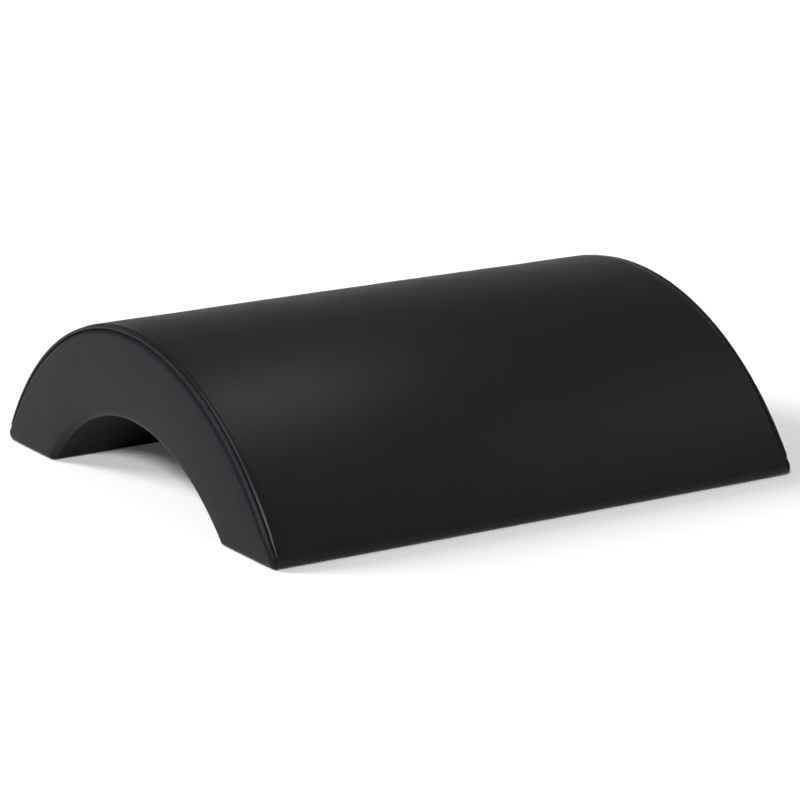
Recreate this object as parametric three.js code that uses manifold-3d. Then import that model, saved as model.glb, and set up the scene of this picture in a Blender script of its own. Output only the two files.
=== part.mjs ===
// Arc barrel for stretching the spine: an arch of bent plywood and foam under a fitted leather cover.
// Millimetres, +Z up. X runs along the barrel and Y across its span. The origin is on the floor,
// under the middle of the crown.

import * as THREE from "three";
import { mergeVertices } from "three/addons/utils/BufferGeometryUtils.js";
import Module from "manifold-3d";

const wasm = await Module();
wasm.setup();

// Overall form
const LENGTH = 600;
const SPAN = 598; // across both feet at the floor, before their corners are rounded
const HEIGHT = 175;
const FOOT_WIDTH = 111; // one foot at the floor, across
const CROWN_THICKNESS = 93; // from the top of the arch to the top of the barrel

// Clearances
const CLEAR = 0.3; // between pieces that touch
const OVERRUN = 5; // how far a cut reaches past the face that it opens

// Upholstery
const LEATHER = 1.2;
const SHOULDER_RADIUS = 4; // rolled edges of the panels, beside the piping
const ARCH_EDGE_RADIUS = 7; // end panel where it turns into the arch
const BASE_EDGE_RADIUS = 5; // end panel where it turns under a foot
const END_EASE = 7; // beside the piping, how far in the end panel's face starts to roll down
const TURN_IN = 25; // reach of the end panel's turned edges, from the end face
const BARREL_TURN_UNDER = 14; // reach of the barrel panel under a foot
const LINING_TURN_UNDER = 12; // reach of the arch lining under a foot
const BARREL_PAD = 22; // foam over the barrel
const PIPING_RADIUS = 1.8;
const PIPING_LEATHER = 0.7;
const GRIP_THICKNESS = 2; // rubber sheet under a foot
const GRIP_PROUD = 0.8; // how far the rubber stands below the leather
const GRIP_CORNER_RADIUS = 6;

// Frame
const SKIN = 4; // bent plywood, over and under the ribs
const BASE_BOARD = 12;
const END_RIB = 15;
const MID_RIB = 12;
const MID_RIB_PLACE_SHARE = 1 / 6; // of the length, from the middle
const BATTEN_WIDTH = 40;
const BATTEN_THICKNESS = 18;
const HAUNCH_ANGLE_SHARE = 0.62; // of the angle from the crown to the foot
const SLOT_ANGLE_SHARES = [0.32, 0.68]; // of the haunch batten's angle
const SLOT_DEPTH_SHARE = 0.46; // of the rib's depth

// Base screws
const SCREW_RADIUS = 2;
const SCREW_HEAD_RADIUS = 4;
const SCREW_HEAD_HEIGHT = 3;
const SCREW_TIP = 5;
const SCREW_LENGTH = 30;

// Fineness of the facets
const ARC_STEP = THREE.MathUtils.degToRad(3.8);
const SLIVER_SHARE = 0.1; // of a step, the least that is left before the end of an arc
const CORNER_STEPS = 3;
const PIPING_CORNER_STEPS = 1; // of those of a foot's outer corner, the ones that the piping follows
const EASE_STEPS = 3; // steps above a foot's corner in which the end panel's easing narrows
const ROLL_STEPS = 3;
const PIPING_SIDES = 7;
const SCREW_SIDES = 8;
const MERGE_TOLERANCE = 1e-4;

// Layers, counted inwards from the leather's surface
const backing = LEATHER + CLEAR;
const barrelFrameDepth = backing + BARREL_PAD + CLEAR + SKIN + CLEAR;
const archFrameDepth = backing + SKIN + CLEAR;
const leatherZ = GRIP_PROUD;
const frameZ = leatherZ + backing;
const ribZ = frameZ + BASE_BOARD + CLEAR;

// The groove between the two rolled shoulders just lets the piping's tail through.
const groove = SHOULDER_RADIUS + (PIPING_LEATHER + 2 * CLEAR) / Math.SQRT2;
const footCornerRadius = groove + SHOULDER_RADIUS + LEATHER;
const archCornerRadius = ARCH_EDGE_RADIUS + LEATHER;
const frameEnd = LENGTH / 2 - groove - SHOULDER_RADIUS;

// The circle through both ends and the top of an arch
function archThrough(halfSpan, rise) {
  const radius = (halfSpan ** 2 + rise ** 2) / (2 * rise);
  return { radius, z: rise - radius };
}

const barrel = archThrough(SPAN / 2, HEIGHT);
const arch = archThrough(SPAN / 2 - FOOT_WIDTH, HEIGHT - CROWN_THICKNESS);
const barrelFrameRadius = barrel.radius - barrelFrameDepth;
const archFrameRadius = arch.radius + archFrameDepth;

// Half the width of a circle about an arch's centre, at a height
function halfWidthAt(centre, radius, z) {
  return Math.sqrt(radius ** 2 - (z - centre.z) ** 2);
}

// The round corner between an arch and the underside of a foot. Its centre lies inside the barrel's
// circle and outside the arch's, and angle is where it meets that circle, from the crown.
function footCorner(centre, radius, reach) {
  const z = leatherZ + radius;
  const y = halfWidthAt(centre, reach, z);
  return { y, z, radius, angle: Math.atan2(y, z - centre.z) };
}

const outerCorner = footCorner(barrel, footCornerRadius, barrel.radius - footCornerRadius);
const innerCorner = footCorner(arch, archCornerRadius, arch.radius + archCornerRadius);
const barrelTurnEnd = outerCorner.y - BARREL_TURN_UNDER;
const liningTurnEnd = innerCorner.y + LINING_TURN_UNDER;

// Angles from the crown to an end angle, on a grid that every layer shares
function anglesTo(end) {
  const angles = [];
  for (let angle = 0; angle < end - ARC_STEP * SLIVER_SHARE; angle += ARC_STEP) {
    angles.push(angle);
  }
  return [...angles, end];
}

function anglesBetween(from, to, steps) {
  return Array.from({ length: steps + 1 }, (_, step) => from + ((to - from) * step) / steps);
}

// A place on the leather in section, with the normal that points out of the body.
// Angles turn from +Z towards +Y.
function place(y, z, radius, angle, facing = 1) {
  const ny = Math.sin(angle);
  const nz = Math.cos(angle);
  return { y: y + radius * ny, z: z + radius * nz, ny: facing * ny, nz: facing * nz };
}

function underFoot(y) {
  return { y, z: leatherZ, ny: 0, nz: -1 };
}

function mirrored(spot) {
  return { ...spot, y: -spot.y, ny: -spot.ny };
}

function depthPoint(spot, depth) {
  return new THREE.Vector2(spot.y - depth * spot.ny, spot.z - depth * spot.nz);
}

// The barrel's surface from the crown to the underside of the rear foot
function barrelHalf() {
  const { y, z, radius, angle } = outerCorner;
  const arc = anglesTo(angle).map((turn) => place(0, barrel.z, barrel.radius, turn));
  const corner = anglesBetween(angle, Math.PI, CORNER_STEPS).slice(1);
  return [...arc, ...corner.map((turn) => place(y, z, radius, turn))];
}

// The arch's surface from its top to the underside of the rear foot
function archHalf() {
  const { y, z, radius, angle } = innerCorner;
  const arc = anglesTo(angle).map((turn) => place(0, arch.z, arch.radius, turn, -1));
  const corner = anglesBetween(angle + Math.PI, Math.PI, CORNER_STEPS).slice(1);
  return [...arc, ...corner.map((turn) => place(y, z, radius, turn))];
}

// Both halves, from the front foot over the crown to the rear foot
function overCrown(half) {
  return [...half.slice(1).reverse().map(mirrored), ...half];
}

const barrelPath = overCrown([...barrelHalf(), underFoot(barrelTurnEnd)]);
const pipingHalf = barrelHalf().slice(0, PIPING_CORNER_STEPS - CORNER_STEPS);
const pipingPath = overCrown(pipingHalf);
const liningPath = overCrown([...archHalf(), underFoot(liningTurnEnd)]);

// An arc about an arch's centre that ends at a height, as points in section
function arcDownTo(centre, radius, z) {
  const end = Math.acos((z - centre.z) / radius);
  return overCrown(anglesTo(end).map((turn) => place(0, centre.z, radius, turn)))
    .map((spot) => depthPoint(spot, 0));
}

// Signed volume of a closed mesh, positive when its faces point out
function signedVolume(positions, index) {
  const corners = [new THREE.Vector3(), new THREE.Vector3(), new THREE.Vector3()];
  let volume = 0;
  for (let i = 0; i < index.length; i += 3) {
    corners.forEach((corner, side) => corner.fromArray(positions, 3 * index[i + side]));
    volume += corners[0].dot(corners[1].cross(corners[2])) / 6;
  }
  return volume;
}

function closedGeometry(positions, index) {
  const facing = signedVolume(positions, index) < 0 ? [...index].reverse() : index;
  const geometry = new THREE.BufferGeometry();
  geometry.setAttribute("position", new THREE.Float32BufferAttribute(positions, 3));
  geometry.setIndex(facing);
  geometry.computeVertexNormals();
  return geometry;
}

// Triangles over an outline. Its points are rounded, so that a straight run is quite straight.
// Triangulating drops the points on such a run, so the triangle beside it is split at each of them.
function capFaces(outline) {
  const rounded = outline.map((point) => point.clone().divideScalar(MERGE_TOLERANCE).round());
  const faces = THREE.ShapeUtils.triangulateShape(rounded, []);
  const used = new Set(faces.flat());
  outline.forEach((_, i) => {
    if (used.has(i)) return;
    const before = i - 1;
    const after = outline.findIndex((_, k) => k > i && used.has(k));
    const split = faces.findIndex((face) => face.includes(before) && face.includes(after));
    const [face] = faces.splice(split, 1);
    faces.push(face.map((k) => (k === before ? i : k)), face.map((k) => (k === after ? i : k)));
    used.add(i);
  });
  return faces;
}

// A closed body through rings of points. The outline is the first ring in the plane of its cap,
// and both ends are capped alike.
function loft(rings, outline) {
  const count = outline.length;
  const clockwise = THREE.ShapeUtils.isClockWise(outline);
  const index = [];
  for (let ring = 0; ring < rings.length - 1; ring++) {
    for (let i = 0; i < count; i++) {
      const [here, next] = clockwise ? [(i + 1) % count, i] : [i, (i + 1) % count];
      const a = ring * count + here;
      const b = ring * count + next;
      index.push(a, b, b + count, a, b + count, a + count);
    }
  }
  const last = (rings.length - 1) * count;
  for (const face of capFaces(outline)) {
    const faceUp = THREE.ShapeUtils.area(face.map((i) => outline[i])) > 0;
    const [a, b, c] = faceUp ? face : [...face].reverse();
    index.push(a, c, b, last + a, last + b, last + c);
  }
  return closedGeometry(rings.flat().flatMap((point) => point.toArray()), index);
}

// A sheet or cord along a path in section. Its outline is given in x and depth under the leather.
function sweep(outline, path) {
  const rings = path.map((spot) => outline.map(({ x, y: depth }) => {
    const { x: across, y: up } = depthPoint(spot, depth);
    return new THREE.Vector3(x, across, up);
  }));
  return loft(rings, outline);
}

function wound(outline, clockwise) {
  return THREE.ShapeUtils.isClockWise(outline) === clockwise ? outline : [...outline].reverse();
}

// An outline in Y and Z, drawn out along X
function prism(outline, from, to, holes = []) {
  const shape = new THREE.Shape(wound(outline, false));
  shape.holes = holes.map((hole) => new THREE.Path(wound(hole, true)));
  const geometry = new THREE.ExtrudeGeometry(shape, { depth: to - from, bevelEnabled: false });
  const alongX = new THREE.Matrix4().makeBasis(
    new THREE.Vector3(0, 1, 0), new THREE.Vector3(0, 0, 1), new THREE.Vector3(1, 0, 0));
  return geometry.applyMatrix4(alongX).translate(from, 0, 0);
}

// A solid for cutting, without the flat faces that a lathe leaves at its axis
function toSolid(geometry) {
  const bare = geometry.clone();
  bare.deleteAttribute("normal");
  bare.deleteAttribute("uv");
  const merged = mergeVertices(bare, MERGE_TOLERANCE);
  const index = merged.index.array;
  const triVerts = [];
  for (let i = 0; i < index.length; i += 3) {
    const face = index.slice(i, i + 3);
    if (new Set(face).size === face.length) triVerts.push(...face);
  }
  return new wasm.Manifold(new wasm.Mesh({
    numProp: 3,
    vertProperties: Float32Array.from(merged.attributes.position.array),
    triVerts: Uint32Array.from(triVerts),
  }));
}

function cut(geometry, cutters) {
  const result = cutters.reduce((left, cutter) => left.subtract(toSolid(cutter)), toSolid(geometry));
  const { vertProperties, triVerts } = result.getMesh();
  return closedGeometry(Array.from(vertProperties), Array.from(triVerts));
}

// Rolled edge in section: how far in from the panel's rim and back from its face each point lies.
// A lip runs straight back from the roll. Without one, the roll takes its point.
function rolledEdge(ease, roll, lip) {
  const steps = lip > 0 ? ROLL_STEPS : ROLL_STEPS + 1;
  const edge = anglesBetween(0, Math.PI / 2, steps).map((turn) => ({
    inwards: ease * (1 - Math.sin(turn)),
    back: roll * (1 - Math.cos(turn)),
  }));
  return lip > 0 ? [...edge, { inwards: 0, back: roll + lip }] : edge;
}

// Edge of an end piece, part way from one kind to another
function mixedEdge(from, to, share) {
  const [inset, ease, roll] = ["inset", "ease", "roll"]
    .map((name) => THREE.MathUtils.lerp(from[name], to[name], share));
  return { inset, ease, roll, lips: false };
}

const besideEdge = { inset: groove, ease: END_EASE, roll: SHOULDER_RADIUS, lips: false };
const cornerEdge = { ...besideEdge, ease: SHOULDER_RADIUS };
const underEdge = { inset: 0, ease: BASE_EDGE_RADIUS, roll: BASE_EDGE_RADIUS, lips: true };
const archEdge = { inset: 0, ease: ARCH_EDGE_RADIUS, roll: ARCH_EDGE_RADIUS, lips: true };

// Rim stations beside the piping. Their easing narrows towards the foot's corner.
function besidePiping(stations) {
  const cornerStart = barrelHalf().length - 1 - CORNER_STEPS;
  return stations.map((spot, i) => {
    const share = THREE.MathUtils.clamp((cornerStart - i) / EASE_STEPS, 0, 1);
    return { ...spot, ...mixedEdge(cornerEdge, besideEdge, share) };
  });
}

// The rim of an end piece, once round the section, from the stations of its rear half down to the
// foot. From there it follows the foot's inner corner and the arch, where a panel has a lip.
function endRim(outerSide) {
  const archSide = archHalf().reverse().map((spot, i) => {
    const turned = Math.min(i / CORNER_STEPS, 1);
    return { ...spot, ...mixedEdge(underEdge, archEdge, turned), lips: true };
  });
  const half = [...outerSide, ...archSide];
  return [...half, ...half.slice(1, -1).reverse().map(mirrored)];
}

// The panel's rim comes out over the piping's end to the leather's surface. Its lip starts beyond
// the barrel panel's turned-under end.
function panelRim() {
  const belowPiping = barrelHalf().slice(pipingHalf.length);
  const lipStart = barrelTurnEnd - 2 * CLEAR;
  return endRim([
    ...besidePiping(pipingHalf),
    ...belowPiping.map((spot, i) => (
      { ...spot, ...mixedEdge(cornerEdge, underEdge, (i + 1) / belowPiping.length) })),
    { ...underFoot(lipStart), ...underEdge, lips: false },
    { ...underFoot(lipStart - groove), ...underEdge },
  ]);
}

// The foam's rim stays behind the barrel panel's turned-under end.
function padRim() {
  return endRim([
    ...besidePiping([...barrelHalf(), underFoot(barrelTurnEnd)]),
    { ...underFoot(barrelTurnEnd - groove), ...underEdge },
  ]);
}

// One ring of an end piece: every rim point, set in and set back from the end face
function endRing(rim, edgePoint) {
  return rim.map((spot) => {
    const { inwards, x } = edgePoint(spot);
    const { x: y, y: z } = depthPoint(spot, spot.inset + inwards);
    return new THREE.Vector3(x, y, z);
  });
}

function faceOutline(ring) {
  return ring.map((point) => new THREE.Vector2(point.y, point.z));
}

// End panel: a flat face with its rim rolled back and turned under the feet and into the arch
function endCover() {
  const rim = panelRim();
  const skinSide = (thickness) => (spot, k) => {
    const lip = spot.lips ? TURN_IN - spot.roll : 0;
    const edge = rolledEdge(spot.ease - thickness, spot.roll - thickness, lip)[k];
    return { inwards: thickness + edge.inwards, x: LENGTH / 2 - thickness - edge.back };
  };
  const edgeSteps = Array.from({ length: ROLL_STEPS + 2 }, (_, k) => k);
  const outside = edgeSteps.map((k) => endRing(rim, (spot) => skinSide(0)(spot, k)));
  const inside = edgeSteps.map((k) => endRing(rim, (spot) => skinSide(LEATHER)(spot, k))).reverse();
  return loft([...outside, ...inside], faceOutline(outside[0]));
}

// Foam between the end rib and the end panel, rounded as the panel is
function endPad() {
  const rim = padRim();
  const face = LENGTH / 2 - backing;
  const thickness = face - frameEnd - CLEAR;
  const rings = Array.from({ length: ROLL_STEPS + 2 }, (_, k) => endRing(rim, (spot) => {
    const roll = spot.roll - backing;
    const edge = rolledEdge(spot.ease - backing, roll, thickness - roll)[k];
    return { inwards: backing + edge.inwards, x: face - edge.back };
  }));
  return loft(rings, faceOutline(rings[0]));
}

// Barrel panel: a sheet from foot to foot whose ends roll down into the grooves
function barrelCover() {
  const rollCentre = frameEnd;
  const quarter = anglesBetween(0, Math.PI / 2, ROLL_STEPS);
  const side = (radius) => quarter.map((turn) => new THREE.Vector2(
    rollCentre + radius * Math.sin(turn), SHOULDER_RADIUS - radius * Math.cos(turn)));
  const right = [...side(SHOULDER_RADIUS), ...side(SHOULDER_RADIUS - LEATHER).reverse()];
  const left = right.map(({ x, y }) => new THREE.Vector2(-x, y)).reverse();
  return sweep([...right, ...left], barrelPath);
}

// Arch lining: a sheet between the turned-in edges of the end panels
function archLining() {
  const reach = LENGTH / 2 - TURN_IN - CLEAR;
  const outline = [[-reach, 0], [reach, 0], [reach, LEATHER], [-reach, LEATHER]];
  return sweep(outline.map(([x, depth]) => new THREE.Vector2(x, depth)), liningPath);
}

// The piping rests against both shoulders, so its centre lies on the diagonal of the corner.
const pipingReach = SHOULDER_RADIUS + PIPING_RADIUS + CLEAR;
const pipingDepth = (groove + 2 * SHOULDER_RADIUS - Math.sqrt(2 * pipingReach ** 2 - groove ** 2)) / 2;
const pipingBore = PIPING_RADIUS - PIPING_LEATHER;

// A point in x and depth, from the piping's centre: along its tail, which points to the inner side of
// the corner, and across it
function pipingPoint(along, across) {
  return new THREE.Vector2(
    LENGTH / 2 - pipingDepth + (across - along) * Math.SQRT1_2,
    pipingDepth + (across + along) * Math.SQRT1_2);
}

// Points on a circle about the piping's centre, between two places that lie a given way across
function pipingArc(radius, fromAcross, toAcross, steps) {
  const from = Math.asin(fromAcross / radius);
  const to = 2 * Math.PI - Math.asin(toAcross / radius);
  return anglesBetween(from, to, steps)
    .map((turn) => pipingPoint(radius * Math.cos(turn), radius * Math.sin(turn)));
}

// Piping leather: a strip wrapped round its cord, with the tail that is sewn into the seam
function piping() {
  const half = PIPING_LEATHER / 2;
  const slit = half + CLEAR;
  const tail = Math.SQRT2 * (groove + LEATHER - pipingDepth) - half;
  const outline = [
    pipingPoint(tail, half),
    ...pipingArc(PIPING_RADIUS, half, slit, PIPING_SIDES),
    ...pipingArc(pipingBore, half, slit, PIPING_SIDES).reverse(),
    pipingPoint(Math.sqrt(pipingBore ** 2 - half ** 2), -half),
    pipingPoint(tail, -half),
  ];
  return sweep(outline, pipingPath);
}

function pipingCord() {
  const radius = pipingBore - CLEAR;
  const turns = anglesBetween(0, 2 * Math.PI, PIPING_SIDES).slice(1);
  const outline = turns.map((turn) => pipingPoint(radius * Math.cos(turn), radius * Math.sin(turn)));
  return sweep(outline, pipingPath);
}

// Foam over the barrel, wrapped round the outer corner of each foot
function barrelPad() {
  const top = overCrown(barrelHalf()).map((spot) => depthPoint(spot, backing));
  const under = arcDownTo(barrel, barrel.radius - backing - BARREL_PAD, frameZ).reverse();
  return prism([...top, ...under], -frameEnd, frameEnd);
}

// Bent plywood over the ribs
function outerSkin() {
  const top = arcDownTo(barrel, barrelFrameRadius + CLEAR + SKIN, frameZ);
  const under = arcDownTo(barrel, barrelFrameRadius + CLEAR, frameZ).reverse();
  return prism([...top, ...under], -frameEnd, frameEnd);
}

// Bent plywood under the ribs, its lower edges rounded for the lining
function innerSkin() {
  const archSide = overCrown(archHalf()).map((spot) => depthPoint(spot, backing));
  const ribSide = arcDownTo(arch, archFrameRadius - CLEAR, frameZ);
  return prism([...ribSide, ...archSide.reverse()], -frameEnd, frameEnd);
}

const screwY = (halfWidthAt(arch, archFrameRadius, frameZ)
  + halfWidthAt(barrel, barrelFrameRadius, frameZ + SCREW_LENGTH)) / 2;

// Countersunk screw, head down, grown on every side for its hole
function screw(grow = 0) {
  const profile = [
    [0, -grow],
    [SCREW_HEAD_RADIUS + grow, -grow],
    [SCREW_RADIUS + grow, SCREW_HEAD_HEIGHT],
    [SCREW_RADIUS + grow, SCREW_LENGTH - SCREW_TIP + grow],
    [0, SCREW_LENGTH + grow],
  ].map(([radius, up]) => new THREE.Vector2(radius, up));
  return new THREE.LatheGeometry(profile, SCREW_SIDES).rotateX(Math.PI / 2);
}

// Holes for the screws of both feet at one place along the barrel
function screwHoles(x) {
  return [-screwY, screwY].map((y) => screw(CLEAR).translate(x, y, frameZ));
}

// Battens lie in notches in the ribs' upper edges, with their corners just under the skin.
const haunchAngle = HAUNCH_ANGLE_SHARE * outerCorner.angle;
const battenTop = Math.sqrt((barrelFrameRadius - CLEAR) ** 2 - (BATTEN_WIDTH / 2) ** 2);

function battenBox(angle, grow = 0, rise = 0) {
  const height = BATTEN_THICKNESS + grow + rise;
  const centre = battenTop + rise - height / 2;
  const width = BATTEN_WIDTH + 2 * grow;
  return new THREE.BoxGeometry(2 * frameEnd + 2 * rise, width, height)
    .translate(0, 0, centre)
    .rotateX(-angle)
    .translate(0, 0, barrel.z);
}

// Distance from the barrel's centre to the ribs' lower edge, along a ray
function ribInnerReach(angle) {
  const drop = barrel.z - arch.z;
  const along = drop * Math.cos(angle);
  return Math.sqrt(archFrameRadius ** 2 - drop ** 2 + along ** 2) - along;
}

// Lightening slot that follows the rib's middle line, with round ends
function ribSlot(side) {
  const [from, to] = SLOT_ANGLE_SHARES.map((share) => share * haunchAngle);
  const inner = ribInnerReach((from + to) / 2);
  const middle = (barrelFrameRadius + inner) / 2;
  const half = ((barrelFrameRadius - inner) * SLOT_DEPTH_SHARE) / 2;
  const end = (angle, start) => anglesBetween(start, start + Math.PI, 2 * CORNER_STEPS).map((turn) => {
    const centre = place(0, barrel.z, middle, angle);
    return place(centre.y, centre.z, half, angle + turn);
  });
  const along = (radius, first, last) => anglesBetween(first, last, CORNER_STEPS).slice(1, -1)
    .map((turn) => place(0, barrel.z, radius, turn));
  const rim = [...end(to, 0), ...along(middle - half, to, from),
    ...end(from, Math.PI), ...along(middle + half, from, to)];
  return rim.map(({ y, z }) => new THREE.Vector2(side * y, z));
}

// A rib: the arch in section, from the base boards up, notched for the battens
function rib(centreX, thickness, holes) {
  const top = arcDownTo(barrel, barrelFrameRadius, ribZ);
  const under = arcDownTo(arch, archFrameRadius, ribZ).reverse();
  const plate = prism([...top, ...under], centreX - thickness / 2, centreX + thickness / 2, holes);
  const notches = [-haunchAngle, 0, haunchAngle].map((angle) => battenBox(angle, CLEAR, OVERRUN));
  return cut(plate, [...notches, ...screwHoles(centreX)]);
}

const endRibX = frameEnd - END_RIB / 2;
const midRibX = MID_RIB_PLACE_SHARE * LENGTH;
const ribPlaces = [-endRibX, -midRibX, midRibX, endRibX];

// Base board of the rear foot, with its edges bevelled to the two skins
function baseBoard() {
  const corners = [frameZ, frameZ + BASE_BOARD].map((z) => [
    new THREE.Vector2(halfWidthAt(arch, archFrameRadius, z), z),
    new THREE.Vector2(halfWidthAt(barrel, barrelFrameRadius, z), z),
  ]);
  const board = prism([...corners[0], ...corners[1].reverse()], -frameEnd, frameEnd);
  return cut(board, ribPlaces.flatMap(screwHoles));
}

// Rubber sheet under the rear foot, between the turned-under edges
function footGrip() {
  const endX = LENGTH / 2 - TURN_IN - CLEAR;
  const [nearY, farY] = [liningTurnEnd + CLEAR, barrelTurnEnd - 2 * groove - CLEAR];
  const radius = GRIP_CORNER_RADIUS;
  const shape = new THREE.Shape();
  shape.absarc(endX - radius, farY - radius, radius, 0, Math.PI / 2);
  shape.absarc(-endX + radius, farY - radius, radius, Math.PI / 2, Math.PI);
  shape.absarc(-endX + radius, nearY + radius, radius, Math.PI, 1.5 * Math.PI);
  shape.absarc(endX - radius, nearY + radius, radius, 1.5 * Math.PI, 2 * Math.PI);
  return new THREE.ExtrudeGeometry(shape, {
    depth: GRIP_THICKNESS, bevelEnabled: false, curveSegments: CORNER_STEPS,
  });
}

const FINISHES = {
  leather: { color: 0x28282b, roughness: 0.42, metalness: 0 },
  foam: { color: 0xd8d2c2, roughness: 0.95, metalness: 0 },
  plywood: { color: 0xc9a674, roughness: 0.7, metalness: 0 },
  pine: { color: 0xd9bb86, roughness: 0.75, metalness: 0 },
  rubber: { color: 0x1b1b1c, roughness: 0.85, metalness: 0 },
  cord: { color: 0xe6e2d6, roughness: 0.9, metalness: 0 },
  steel: { color: 0xb9bdc2, roughness: 0.35, metalness: 1 },
};

const arcBarrel = new THREE.Group();

function add(name, geometry, finish, turned = false) {
  const mesh = new THREE.Mesh(geometry, new THREE.MeshStandardMaterial(FINISHES[finish]));
  mesh.name = name;
  mesh.rotation.z = turned ? Math.PI : 0;
  arcBarrel.add(mesh);
}

// Pieces that both ends have alike: the left one is the right one, turned round
for (const [side, turned] of [["left", true], ["right", false]]) {
  add(`end_cover_${side}`, endCover(), "leather", turned);
  add(`end_pad_${side}`, endPad(), "foam", turned);
  add(`piping_${side}`, piping(), "leather", turned);
  add(`piping_cord_${side}`, pipingCord(), "cord", turned);
  add(`end_rib_${side}`, rib(endRibX, END_RIB, []), "plywood", turned);
  add(`mid_rib_${side}`, rib(midRibX, MID_RIB, [ribSlot(-1), ribSlot(1)]), "plywood", turned);
}

// Pieces that both feet have alike: the front one is the rear one, turned round
for (const [side, turned] of [["front", true], ["rear", false]]) {
  add(`base_board_${side}`, baseBoard(), "plywood", turned);
  add(`foot_grip_${side}`, footGrip(), "rubber", turned);
  ribPlaces.forEach((x, i) => {
    add(`base_screw_${side}_${i + 1}`, screw().translate(x, screwY, frameZ), "steel", turned);
  });
}

add("barrel_cover", barrelCover(), "leather");
add("arch_lining", archLining(), "leather");
add("barrel_pad", barrelPad(), "foam");
add("outer_skin", outerSkin(), "plywood");
add("inner_skin", innerSkin(), "plywood");
add("crown_batten", battenBox(0), "pine");
add("haunch_batten_front", battenBox(-haunchAngle), "pine");
add("haunch_batten_rear", battenBox(haunchAngle), "pine");

export default arcBarrel;
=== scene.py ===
"""Looks of the arc barrel: fine leather panels, piping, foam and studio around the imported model.

Metres, +Z up. X runs along the barrel and Y across its span, as in the model's source.
"""

import math

import bpy
import numpy as np
from mathutils import Matrix, Vector


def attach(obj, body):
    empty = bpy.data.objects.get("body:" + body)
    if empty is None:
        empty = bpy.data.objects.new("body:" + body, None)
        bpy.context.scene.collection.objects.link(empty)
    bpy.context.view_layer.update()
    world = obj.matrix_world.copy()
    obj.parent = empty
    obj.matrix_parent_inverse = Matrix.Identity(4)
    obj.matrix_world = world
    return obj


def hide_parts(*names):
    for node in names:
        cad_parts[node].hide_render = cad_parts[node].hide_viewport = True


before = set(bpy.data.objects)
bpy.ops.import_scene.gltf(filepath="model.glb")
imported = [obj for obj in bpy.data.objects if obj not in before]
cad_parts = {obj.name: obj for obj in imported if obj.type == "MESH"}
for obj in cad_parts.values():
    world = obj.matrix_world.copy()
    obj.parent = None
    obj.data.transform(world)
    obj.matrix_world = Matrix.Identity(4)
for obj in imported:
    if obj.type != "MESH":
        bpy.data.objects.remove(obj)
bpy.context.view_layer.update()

MM = 0.001

# Overall form, the same values as in the model's source
LENGTH = 600 * MM
SPAN = 598 * MM
HEIGHT = 175 * MM
FOOT_WIDTH = 111 * MM
CROWN_THICKNESS = 93 * MM
CLEAR = 0.3 * MM

# Upholstery, the same values as in the model's source
LEATHER = 1.2 * MM
SHOULDER_RADIUS = 4 * MM
ARCH_EDGE_RADIUS = 7 * MM
BASE_EDGE_RADIUS = 5 * MM
FIRM_RADIUS = 7.5 * MM  # a foot's outer corner as the foam fills it out
END_EASE = 7 * MM  # beside the piping, how far in the end panel's face starts to roll down
TURN_IN = 25 * MM
BARREL_TURN_UNDER = 14 * MM
LINING_TURN_UNDER = 12 * MM
BARREL_PAD = 22 * MM
PIPING_RADIUS = 1.8 * MM
PIPING_LEATHER = 0.7 * MM
GRIP_PROUD = 0.8 * MM

# Fineness of the meshes
ARC_STEPS = 60
FINE_STEPS = 14  # of those, the ones just above a foot's corner
FINE_REACH = 30 * MM
CORNER_STEPS = 20  # even, because a panel's grid turns in the middle of a corner
PIPING_CORNER_STEPS = 7  # of those of a foot's outer corner, the ones that the piping follows
FOOT_STEPS = 16
TURN_STEPS = 4
ROLL_STEPS = 8
LIP_STEPS = 4
PANEL_STEPS = 72
EASE_FADE = 60 * MM  # above a foot's corner, where the end panel's easing narrows
PIPING_TAPER = 13 * MM
PIPING_SUNK = 2 * MM  # at its very end, where it stays thin
PIPING_END_SHARE = 0.3
RIM_RISE = 34 * MM  # over this length the end panel's rim comes out over the piping's end
SHOULDER_POWER = 1.5  # 2 is a round shoulder, 1 a flat chamfer
TIGHT_SHARE = 0.35  # of its size, a shoulder at a foot's corner, where the seam closes
PIPING_SIDES = 22

# How far the foam presses the leather out between its seams, at most, and how it is simulated
BARREL_CROWN = 0.7 * MM
END_CROWN = 1.3 * MM
CLOTH_FRAMES = 20
CLOTH_PRESSURE = 4
BARREL_GRID = (49, 41)  # rows and columns of the simulated sheets
END_GRID = (61, 13)

# The leather's faint unevenness, and how far from an edge or seam it reaches its full size
RIPPLE = 0.05 * MM
EDGE_CALM = 30 * MM
SEAM_CALM = 60 * MM
PUCKER = 0.035 * MM
PUCKER_START = 6 * MM
END_CALM = (0.06, 0.25)  # the same for an end, as shares of its rows and columns

# Leather finish
GRAIN = 0.05 * MM
STRIP_GRAIN = 0.03 * MM
PEBBLES = 1150.0  # a metre, as the next three
PORES = 2600.0
CREASES = 90.0
CLOUDS = 14.0
PEBBLE_SHARE = 0.7  # of the grain's height, the rest is pores
GLOSS_SPREAD = 0.02
TIGHT_FADE = 6 * MM  # over which the leather gets glossier towards a shoulder

# Plywood: a veneer's thickness, and how fine the grain is along each axis
VENEER = 1.4 * MM
GRAIN_ALONG_X = (10.0, 130.0, 130.0)
GRAIN_ALONG_Y = (120.0, 12.0, 120.0)

LEATHER_Z = GRIP_PROUD
BACKING = LEATHER + CLEAR
FRAME_Z = LEATHER_Z + BACKING
GROOVE = SHOULDER_RADIUS + (PIPING_LEATHER + 2 * CLEAR) / math.sqrt(2)
FRAME_END = LENGTH / 2 - GROOVE - SHOULDER_RADIUS


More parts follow.
